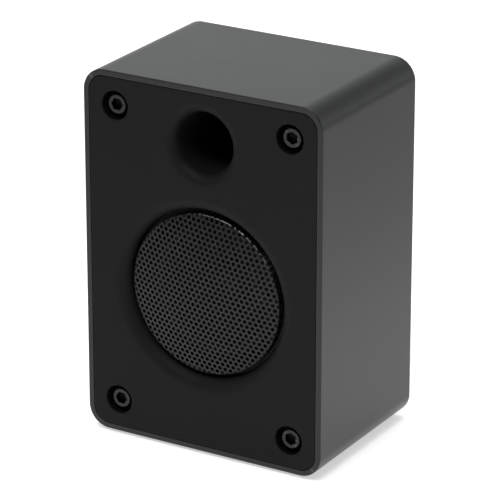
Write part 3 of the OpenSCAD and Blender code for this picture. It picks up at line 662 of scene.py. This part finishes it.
def ring_edges(ring):
    count = len(ring)
    edges = []
    for k in range(count):
        edge = next(e for e in ring[k].link_edges if e.other_vert(ring[k]) is ring[(k + 1) % count])
        edges.append(edge)
    return edges


def fill_between(bm, rings):
    """A flat face inside the first ring, with the other rings as its holes."""
    edges = []
    for ring in rings:
        edges += ring_edges(ring)
    bmesh.ops.triangle_fill(bm, use_beauty=True, use_dissolve=False, edges=edges)


def as_mesh(bm, name, outward=False):
    """Turns a bmesh into a mesh, first with its faces turned outward if asked."""
    if outward:
        bmesh.ops.recalc_face_normals(bm, faces=bm.faces)
    mesh = bpy.data.meshes.new(name)
    bm.to_mesh(mesh)
    bm.free()
    return mesh


def to_piece(bm, name, material, body, smooth_deg=40, outward=True):
    """Turns a bmesh into a finished piece that rides on a body."""
    return finish_piece(as_mesh(bm, name, outward), name, material, body, smooth_deg)


def shade(mesh, hidden, darkness=1.0):
    """Marks the points for which hidden is true with a shade attribute, which the finishes paint as shade.
    """
    marks = mesh.attributes.new("shade", "FLOAT", "POINT")
    for mark, vert in zip(marks.data, mesh.vertices):
        mark.value = darkness if hidden(vert.co) else 0.0


def dressed(mesh, name, material, smooth_deg=40):
    """A new object of this mesh, smooth but for its sharp edges, in this material."""
    mesh.materials.clear()
    mesh.materials.append(material)
    mesh.shade_smooth()
    mesh.set_sharp_from_angle(angle=math.radians(smooth_deg))
    piece = bpy.data.objects.new(name, mesh)
    bpy.context.scene.collection.objects.link(piece)
    return piece


def finish_piece(mesh, name, material, body, smooth_deg=40):
    piece = dressed(mesh, name, material, smooth_deg)
    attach(piece, body)
    return piece


def closed_lathe(bm, x, z, profile, count):
    """A ring-shaped solid: a closed profile turned about an axis along y."""
    rings = lathe_rings(bm, x, z, profile, count)
    chain(bm, rings + [rings[0]])


# ---- Geometry Nodes that repeat --------------------------------------------------------


def node_tree(name, inputs):
    """An empty geometry tree with a geometry input and output and the named inputs."""
    tree = bpy.data.node_groups.new(name, "GeometryNodeTree")
    tree.interface.new_socket("Geometry", in_out="INPUT", socket_type="NodeSocketGeometry")
    for label, kind in inputs:
        tree.interface.new_socket(label, in_out="INPUT", socket_type="NodeSocket" + kind)
    tree.interface.new_socket("Geometry", in_out="OUTPUT", socket_type="NodeSocketGeometry")
    return tree, tree.nodes.new("NodeGroupInput"), tree.nodes.new("NodeGroupOutput")


def grow(base, tree, values):
    """Runs a geometry tree on an object and gives the result as a plain mesh."""
    modifier = base.modifiers.new("grow", "NODES")
    modifier.node_group = tree
    for item in tree.interface.items_tree:
        if item.in_out == "INPUT" and item.name in values:
            modifier[item.identifier] = values[item.name]
    base.update_tag()
    bpy.context.view_layer.update()
    evaluated = base.evaluated_get(bpy.context.evaluated_depsgraph_get())
    mesh = bpy.data.meshes.new_from_object(evaluated)
    base.modifiers.remove(modifier)
    return mesh


def make_repeat_tree():
    """Sets a copy of a part on each point of the base mesh, turned about y by its own angle."""
    tree, given, result = node_tree("repeat_on_points", [("Part", "Object"), ("Material", "Material")])
    link = tree.links.new
    part = tree.nodes.new("GeometryNodeObjectInfo")
    link(given.outputs["Part"], part.inputs["Object"])
    turn = tree.nodes.new("GeometryNodeInputNamedAttribute")
    turn.data_type = "FLOAT"
    turn.inputs["Name"].default_value = "turn"
    rotation = tree.nodes.new("ShaderNodeCombineXYZ")
    link(turn.outputs["Attribute"], rotation.inputs["Y"])
    copies = tree.nodes.new("GeometryNodeInstanceOnPoints")
    link(given.outputs["Geometry"], copies.inputs["Points"])
    link(part.outputs["Geometry"], copies.inputs["Instance"])
    link(rotation.outputs["Vector"], copies.inputs["Rotation"])
    real = tree.nodes.new("GeometryNodeRealizeInstances")
    link(copies.outputs["Instances"], real.inputs["Geometry"])
    dressed = tree.nodes.new("GeometryNodeSetMaterial")
    link(real.outputs["Geometry"], dressed.inputs["Geometry"])
    link(given.outputs["Material"], dressed.inputs["Material"])
    link(dressed.outputs["Geometry"], result.inputs["Geometry"])
    return tree


REPEAT = make_repeat_tree()


def repeat(part_mesh, places, name, material, body, smooth_deg=35):
    """A piece made of copies of a mesh, one at each place of x, depth, z and turn in degrees."""
    points = bpy.data.meshes.new("points")
    points.from_pydata([(x, FRONT + depth, z) for x, depth, z, _ in places], [], [])
    turns = points.attributes.new("turn", "FLOAT", "POINT")
    for value, (_, _, _, turn) in zip(turns.data, places):
        value.value = math.radians(turn)
    base = bpy.data.objects.new("points", points)
    part = bpy.data.objects.new("part", part_mesh)
    bpy.context.scene.collection.objects.link(base)
    mesh = grow(base, REPEAT, {"Part": part, "Material": material})
    bpy.data.objects.remove(base)
    bpy.data.objects.remove(part)
    return finish_piece(mesh, name, material, body, smooth_deg)


def make_perforation_tree():
    """A domed disc with round holes on a triangular lattice, facing -Y, centred on the origin."""
    inputs = [
        ("Radius", "Float"), ("Pitch", "Float"), ("Hole radius", "Float"), ("Margin", "Float"),
        ("Turn", "Float"), ("Along", "Float"), ("Across", "Float"), ("Dome radius", "Float"),
        ("Thickness", "Float"), ("Hole sides", "Int"), ("Edge sides", "Int"), ("Material", "Material"),
    ]
    tree, given, result = node_tree("perforated_dome", inputs)
    link = tree.links.new
    pitch = given.outputs["Pitch"]
    radius = given.outputs["Radius"]
    row_step = math_node(tree, "MULTIPLY", pitch, math.sqrt(3) / 2)

    # Rows of points, every second row half a pitch along
    half_rows = math_node(tree, "CEIL", math_node(tree, "DIVIDE", radius, row_step))
    half_rows = math_node(tree, "ADD", half_rows, 1)
    half_columns = math_node(tree, "CEIL", math_node(tree, "DIVIDE", radius, pitch))
    half_columns = math_node(tree, "ADD", half_columns, 1)
    columns = math_node(tree, "ADD", math_node(tree, "MULTIPLY", half_columns, 2), 1)
    rows = math_node(tree, "ADD", math_node(tree, "MULTIPLY", half_rows, 2), 1)
    total = math_node(tree, "MULTIPLY", columns, rows)
    points = tree.nodes.new("GeometryNodePoints")
    link(total, points.inputs["Count"])
    index = tree.nodes.new("GeometryNodeInputIndex").outputs[0]
    row = math_node(tree, "FLOOR", math_node(tree, "DIVIDE", math_node(tree, "ADD", index, 0.5), columns))
    column = math_node(tree, "SUBTRACT", index, math_node(tree, "MULTIPLY", row, columns))
    across = math_node(tree, "SUBTRACT", row, half_rows)
    odd = math_node(tree, "FLOORED_MODULO", across, 2)
    along = math_node(tree, "SUBTRACT", column, half_columns)
    along = math_node(tree, "ADD", along, math_node(tree, "MULTIPLY", odd, 0.5))
    place = tree.nodes.new("ShaderNodeCombineXYZ")
    link(math_node(tree, "MULTIPLY_ADD", along, pitch, given.outputs["Along"]), place.inputs["X"])
    link(math_node(tree, "MULTIPLY_ADD", across, row_step, given.outputs["Across"]), place.inputs["Y"])
    turned = tree.nodes.new("ShaderNodeVectorRotate")
    turned.rotation_type = "Z_AXIS"
    link(place.outputs[0], turned.inputs["Vector"])
    link(given.outputs["Turn"], turned.inputs["Angle"])
    link(turned.outputs[0], points.inputs["Position"])

    # Only the holes that fit inside the edge
    position = tree.nodes.new("GeometryNodeInputPosition").outputs[0]
    length = tree.nodes.new("ShaderNodeVectorMath")
    length.operation = "LENGTH"
    link(position, length.inputs[0])
    limit = math_node(tree, "SUBTRACT", radius, given.outputs["Hole radius"])
    limit = math_node(tree, "SUBTRACT", limit, given.outputs["Margin"])
    outside = math_node(tree, "GREATER_THAN", length.outputs["Value"], limit)
    keep = tree.nodes.new("GeometryNodeDeleteGeometry")
    keep.domain = "POINT"
    link(points.outputs[0], keep.inputs["Geometry"])
    link(outside, keep.inputs["Selection"])

    # Hole outlines and the disc's edge, filled between
    hole = tree.nodes.new("GeometryNodeCurvePrimitiveCircle")
    link(given.outputs["Hole sides"], hole.inputs["Resolution"])
    link(given.outputs["Hole radius"], hole.inputs["Radius"])
    holes = tree.nodes.new("GeometryNodeInstanceOnPoints")
    link(keep.outputs[0], holes.inputs["Points"])
    link(hole.outputs["Curve"], holes.inputs["Instance"])
    real = tree.nodes.new("GeometryNodeRealizeInstances")
    link(holes.outputs[0], real.inputs["Geometry"])
    edge = tree.nodes.new("GeometryNodeCurvePrimitiveCircle")
    link(given.outputs["Edge sides"], edge.inputs["Resolution"])
    link(radius, edge.inputs["Radius"])
    curves = tree.nodes.new("GeometryNodeJoinGeometry")
    link(edge.outputs["Curve"], curves.inputs[0])
    link(real.outputs[0], curves.inputs[0])
    sheet = tree.nodes.new("GeometryNodeFillCurve")
    link(curves.outputs[0], sheet.inputs["Curve"])

    # Stand the sheet up, and give it depth by its distance from the middle
    where = tree.nodes.new("ShaderNodeSeparateXYZ")
    link(position, where.inputs[0])
    dome = given.outputs["Dome radius"]
    squared = math_node(tree, "MULTIPLY", length.outputs["Value"], length.outputs["Value"])
    under = math_node(tree, "SUBTRACT", math_node(tree, "MULTIPLY", dome, dome), squared)
    depth = math_node(tree, "SUBTRACT", dome, math_node(tree, "SQRT", under))
    stood = tree.nodes.new("ShaderNodeCombineXYZ")
    link(where.outputs["X"], stood.inputs["X"])
    link(depth, stood.inputs["Y"])
    link(where.outputs["Y"], stood.inputs["Z"])
    domed = tree.nodes.new("GeometryNodeSetPosition")
    link(sheet.outputs[0], domed.inputs["Geometry"])
    link(stood.outputs[0], domed.inputs["Position"])

    # A second skin behind the first, and walls between them
    back = tree.nodes.new("GeometryNodeExtrudeMesh")
    back.inputs["Individual"].default_value = False
    link(domed.outputs[0], back.inputs["Mesh"])
    direction = tree.nodes.new("ShaderNodeCombineXYZ")
    direction.inputs["Y"].default_value = 1.0
    link(direction.outputs[0], back.inputs["Offset"])
    link(given.outputs["Thickness"], back.inputs["Offset Scale"])
    both = tree.nodes.new("GeometryNodeJoinGeometry")
    link(domed.outputs[0], both.inputs[0])
    link(back.outputs["Mesh"], both.inputs[0])
    merged = tree.nodes.new("GeometryNodeMergeByDistance")
    merged.inputs["Distance"].default_value = 0.001 * MM
    link(both.outputs[0], merged.inputs["Geometry"])
    whole = tree.nodes.new("GeometryNodeRealizeInstances")
    link(merged.outputs[0], whole.inputs["Geometry"])
    dressed = tree.nodes.new("GeometryNodeSetMaterial")
    link(whole.outputs[0], dressed.inputs["Geometry"])
    link(given.outputs["Material"], dressed.inputs["Material"])
    link(dressed.outputs[0], result.inputs["Geometry"])
    return tree


# ---- The front -------------------------------------------------------------------------


def make_sleeve():
    """The sleeve: a rounded-rectangle tube whose rims are pocketed for the two panels."""
    soft = 0.35 * MM
    tiny = 0.15 * MM
    pocket_end = BAFFLE_T + GASKET
    rear_pocket = DEPTH - REAR_T - GASKET
    front_outer = arc((soft, soft), soft, 180, 270, 5)
    front_inner = arc((RIM - tiny, tiny), tiny, 270, 360, 3)
    rear_inner = [(i, DEPTH - d) for i, d in reversed(front_inner)]
    rear_outer = [(i, DEPTH - d) for i, d in reversed(front_outer)]
    profile = (
        front_outer + [(soft * 1.6, 0), (RIM - tiny * 2, 0)] + front_inner
        + [(RIM, pocket_end), (WALL, pocket_end), (WALL, rear_pocket), (RIM, rear_pocket)]
        + rear_inner + [(RIM - tiny * 2, DEPTH), (soft * 1.6, DEPTH)] + rear_outer
        + [(0, DEPTH - 2 * soft), (0, DEPTH / 2), (0, 2 * soft)]
    )
    bm = bmesh.new()
    rings = [add_ring(bm, outline(i, d)) for i, d in profile]
    chain(bm, rings + [rings[0]])
    add_channels(bm, pocket_end, rear_pocket)
    sleeve = to_piece(bm, "sleeve", FINISHES["sleeve"], "cabinet")
    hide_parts("cabinet_shell")


def screw_places():
    return [(x, MID_Z + z) for x in (-SCREW_X, SCREW_X) for z in (-SCREW_Z, SCREW_Z)]


def add_channels(bm, start, stop):
    """The four screw channels inside the sleeve."""
    bore = 2.5 * MM
    outer = 5.5 * MM
    for x, z in screw_places():
        closed_lathe(bm, x, z, [(bore, start), (outer, start), (outer, stop), (bore, stop)], 48)


def make_baffle():
    """The baffle: a flat face whose holes run into flares and counterbores without a break."""
    soft = 0.4 * MM
    lip = 0.3 * MM
    hold = 0.5 * MM
    edge = RIM + SEAM
    bm = bmesh.new()

    # The outer edge, from the flat face round to the back
    edge_profile = (
        [(edge + soft + hold, 0)]
        + arc((edge + soft, soft), soft, 270, 180, 5)
        + [(edge, BAFFLE_T - soft), (edge + soft, BAFFLE_T)]
    )
    edge_rings = [add_ring(bm, outline(i, d)) for i, d in edge_profile]
    chain(bm, edge_rings)

    # The port's flare, its socket for the tube, and the collar behind
    port = (
        [(PORT_R + PORT_FLARE + hold, 0)]
        + arc((PORT_R + PORT_FLARE, PORT_FLARE), PORT_FLARE, 270, 180, 20)
        + [
            (PORT_R, TUBE_FROM), (PORT_R + PORT_WALL, TUBE_FROM), (PORT_R + PORT_WALL, COLLAR_TO),
            (PORT_R + PORT_WALL + 2.5 * MM, COLLAR_TO), (PORT_R + PORT_WALL + 2.5 * MM, BAFFLE_T),
        ]
    )
    port_rings = lathe_rings(bm, 0, PORT_Z, port, 128)
    chain(bm, port_rings)

    # The well for the grille, with its ledge and the driver's opening
    well = (
        [(WELL_R + WELL_FLARE + hold, 0)]
        + arc((WELL_R + WELL_FLARE, WELL_FLARE), WELL_FLARE, 270, 180, 20)
        + [(WELL_R, WELL_DEPTH), (THROAT_R, WELL_DEPTH), (THROAT_R, BAFFLE_T)]
    )
    well_rings = lathe_rings(bm, 0, DRIVER_Z, well, 192)
    chain(bm, well_rings)

    # Counterbores and screw holes
    bore_front = []
    bore_back = []
    for x, z in screw_places():
        profile = (
            [(COUNTERBORE_R + lip + hold, 0)]
            + arc((COUNTERBORE_R + lip, lip), lip, 270, 180, 4)
            + [
                (COUNTERBORE_R, 1.6 * MM),
                (COUNTERBORE_R, HEAD_SUNK + HEAD_H), (SCREW_HOLE_R, HEAD_SUNK + HEAD_H),
                (SCREW_HOLE_R, BAFFLE_T),
            ]
        )
        rings = lathe_rings(bm, x, z, profile, 64)
        chain(bm, rings)
        bore_front.append(rings[0])
        bore_back.append(rings[-1])

    fill_between(bm, [edge_rings[0], port_rings[0], well_rings[0]] + bore_front)
    fill_between(bm, [edge_rings[-1], port_rings[-1], well_rings[-1]] + bore_back)
    baffle = to_piece(bm, "baffle", FINISHES["baffle"], "cabinet")

    def in_counterbore(at):
        near = any(math.hypot(at.x - x, at.z - z) < COUNTERBORE_R * 1.01 for x, z in screw_places())
        return near and at.y > FRONT + 0.6 * MM

    # Painted shade: the counterbores' walls and floors are marked to be painted darker.
    shade(baffle.data, in_counterbore, 0.7)
    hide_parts("front_baffle")


def hexagon_reach(angle, across):
    """Distance from the middle to a hexagon's side, at an angle from one of its corners."""
    sector = math.radians(60)
    within = angle % sector - sector / 2
    return across / math.cos(within)


def make_cap_screw():
    """One socket cap screw along +Y, its head's face at the origin: knurled, with a hex socket."""
    bm = bmesh.new()
    count = 96
    socket_depth = 2.6 * MM
    chamfer = 0.1 * MM
    rounding = 0.35 * MM
    knurl = 0.14 * MM

    def level(radius_at, depth):
        points = []
        for k in range(count):
            angle = 2 * math.pi * k / count
            radius = radius_at(angle, k)
            points.append((radius * math.cos(angle), depth, radius * math.sin(angle)))
        return add_ring(bm, points)

    def plain(radius):
        return lambda angle, k: radius

    def hexagon(extra):
        return lambda angle, k: hexagon_reach(angle, SOCKET_R) + extra

    def ribbed(radius):
        return lambda angle, k: radius - (knurl if k % 2 else 0)

    bottom = level(hexagon(0), socket_depth)
    tip = bm.verts.new((0, socket_depth + 0.7 * MM, 0))
    for k in range(count):
        bm.faces.new((bottom[k], bottom[(k + 1) % count], tip))
    rings = [bottom, level(hexagon(0), 0.17 * MM), level(hexagon(0), chamfer), level(hexagon(chamfer), 0)]
    rings += [level(plain(3.1 * MM), 0), level(plain(HEAD_R - rounding - 0.1 * MM), 0)]
    rings += [
        level(plain(radius), depth)
        for radius, depth in arc((HEAD_R - rounding, rounding), rounding, 270, 360, 5)
    ]
    rings += [
        level(plain(HEAD_R), rounding + 0.25 * MM),
        level(ribbed(HEAD_R), rounding + 0.45 * MM),
        level(ribbed(HEAD_R), HEAD_H - 0.5 * MM),
        level(plain(HEAD_R - 0.2 * MM), HEAD_H - 0.3 * MM),
        level(plain(HEAD_R - 0.3 * MM), HEAD_H),
        level(plain(SCREW_R), HEAD_H),
    ]
    chain(bm, rings)
    add_thread(bm, rings[-1], level, plain, HEAD_H, SCREW_TO - HEAD_SUNK)
    mesh = as_mesh(bm, "cap_screw", outward=True)
    # Painted shade: the socket's walls and bottom are marked to be painted near black.
    shade(mesh, lambda at: at.y > 0.15 * MM and math.hypot(at.x, at.z) < SOCKET_R * 1.2)
    return mesh


def add_thread(bm, first, level, plain, start, stop):
    """Rolled thread ridges down a shank, and its flat end."""
    pitch = 0.8 * MM
    depth = 0.4 * MM
    ring = first
    turns = int((stop - start - 2 * pitch) / pitch)
    for k in range(turns):
        along = start + pitch * (k + 1)
        root = level(plain(SCREW_R - depth), along)
        crest = level(plain(SCREW_R), along + pitch / 2)
        bridge(bm, ring, root)
        bridge(bm, root, crest)
        ring = crest
    end = level(plain(SCREW_R - depth), stop)
    bridge(bm, ring, end)
    bm.faces.new(end)


def make_front_screws():
    """Four screws, each stopped at its own angle."""
    places = [(x, HEAD_SUNK, z, 3 if x < 0 else 30) for x, z in screw_places()]
    screws = repeat(
        make_cap_screw(), places, "front_cap_screws", FINISHES["black_screw"], "cabinet",
    )
    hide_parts("front_screws")


def make_grille():
    """The perforated dome and its edge, rolled back into the well."""
    sheet_t = 0.8 * MM
    disc_r = GRILLE_R - ROLL
    base = bpy.data.objects.new("disc", bpy.data.meshes.new("disc"))
    bpy.context.scene.collection.objects.link(base)
    mesh = grow(base, make_perforation_tree(), {
        "Radius": disc_r, "Pitch": HOLE_PITCH, "Hole radius": HOLE_R, "Margin": 0.02 * MM,
        "Turn": HOLE_TURN, "Along": HOLE_ALONG, "Across": HOLE_ACROSS, "Dome radius": DOME_R,
        "Thickness": sheet_t, "Hole sides": 14, "Edge sides": 192, "Material": FINISHES["grille_metal"],
    })
    bpy.data.objects.remove(base)
    bm = bmesh.new()
    bm.from_mesh(mesh)
    bmesh.ops.translate(bm, verts=bm.verts, vec=(0, FRONT + GRILLE_APEX, DRIVER_Z))
    bmesh.ops.recalc_face_normals(bm, faces=bm.faces)
    edge_depth = GRILLE_APEX + DOME_R - math.sqrt(DOME_R ** 2 - disc_r ** 2)
    rim = bmesh.new()
    profile = (
        arc((disc_r, edge_depth + ROLL), ROLL, 270, 360, 6)
        + [(GRILLE_R, GRILLE_END), (GRILLE_R - sheet_t, GRILLE_END),
           (GRILLE_R - sheet_t, edge_depth + sheet_t + 0.3 * MM), (disc_r - 0.3 * MM, edge_depth + sheet_t),
           (disc_r - 0.3 * MM, edge_depth + 0.02 * MM)]
    )
    closed_lathe(rim, 0, DRIVER_Z, profile, 192)
    bm.from_mesh(as_mesh(rim, "rim", outward=True))
    grille = to_piece(
        bm, "perforated_grille", FINISHES["grille_metal"], "cabinet",
        smooth_deg=35, outward=False,
    )
    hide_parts("grille")


def make_port_tube():
    """The port's tube, with its bore eased and its outside spread at the inner end."""
    lip = 3 * MM
    ease = 0.6 * MM
    outer = PORT_R + PORT_WALL
    profile = [
        (PORT_R, TUBE_FROM), (PORT_R, TUBE_TO - ease), (PORT_R + ease, TUBE_TO),
        (outer + lip, TUBE_TO), (outer, TUBE_TO - lip), (outer, TUBE_FROM),
    ]
    bm = bmesh.new()
    closed_lathe(bm, 0, PORT_Z, profile, 128)
    tube = to_piece(bm, "port_pipe", FINISHES["port_plastic"], "cabinet")
    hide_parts("port_tube")


make_sleeve()
make_baffle()
make_front_screws()
make_grille()
make_port_tube()

# ---- Pieces that keep their CAD shape, with their edges broken --------------------------


def merged_copy(node):
    bm = bmesh.new()
    bm.from_mesh(frame["nodes"][node].data)
    bmesh.ops.remove_doubles(bm, verts=bm.verts, dist=0.002 * MM)
    return bm


def soften(node, name, body, slot, width_mm):
    """A copy of a CAD node, merged and with every sharp edge rounded a little."""
    bm = merged_copy(node)
    bmesh.ops.dissolve_limit(
        bm, angle_limit=math.radians(0.4), verts=bm.verts, edges=bm.edges, use_dissolve_boundaries=False
    )
    piece = finish_piece(as_mesh(bm, name), name, FINISHES[slot], body)
    bevel = piece.modifiers.new("edges", "BEVEL")
    bevel.width = width_mm * MM
    bevel.segments = 2
    bevel.limit_method = "ANGLE"
    bevel.angle_limit = math.radians(38)
    bevel.harden_normals = True
    bevel.use_clamp_overlap = True
    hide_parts(node)


soften("rubber_feet", "feet", "cabinet", "rubber", 0.3)
soften("rear_panel", "back_panel", "cabinet", "rear_plastic", 0.3)
soften("rear_screws", "back_screws", "cabinet", "black_screw", 0.12)
soften("terminal_housing", "terminal_cup", "cabinet", "terminal_plastic", 0.2)
soften("terminal_screws", "terminal_cup_screws", "cabinet", "zinc_screw", 0.06)
soften("lever_red", "red_lever", "lever_red", "lever_red", 0.25)
soften("lever_black", "black_lever", "lever_black", "lever_black", 0.25)
soften("bracket_inserts", "brass_inserts", "cabinet", "brass", 0.15)

# ---- Soft pieces, copied from the CAD as they stand ------------------------------------


def part_of(node, name, keep=None):
    """A copy of a CAD node's mesh, or of those of its faces whose middles are to be kept."""
    bm = merged_copy(node)
    if keep:
        spare = [face for face in bm.faces if not keep(face.calc_center_median())]
        bmesh.ops.delete(bm, geom=spare, context="FACES")
    return as_mesh(bm, name)


def flex(node, name, slot, keep=None):
    """A soft piece copied from a CAD node as it stands, on no body."""
    piece = dressed(part_of(node, name, keep), name, FINISHES[slot])
    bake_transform(piece)
    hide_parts(node)


def make_flexing():
    """The leads, the springs and the surround, which bend as the cone and the levers move; here they are
    still copies, and only the surround's outer part rides on the cabinet.
    """
    flex(
        "tinsel_leads", "flexing_leads", "copper",
    )
    for side, colour in ((-1, "red"), (1, "black")):
        flex(
            "lever_springs", f"{colour}_lever_spring", "spring_steel",
            lambda place, side=side: place.x * side > 0,
        )

    # Inside its crown the surround goes from still to moving, and all of its inner lip moves
    crown = THROAT_R - 6 * MM

    def reach(place):
        return math.hypot(place.x, place.z - DRIVER_Z)

    flex(
        "driver_surround", "surround_inner", "surround_rubber",
        lambda place: reach(place) < crown,
    )
    outer = finish_piece(
        part_of("driver_surround", "surround_outer", lambda place: reach(place) >= crown),
        "surround_outer", FINISHES["surround_rubber"], "cabinet",
    )
    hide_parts("driver_surround")


make_flexing()
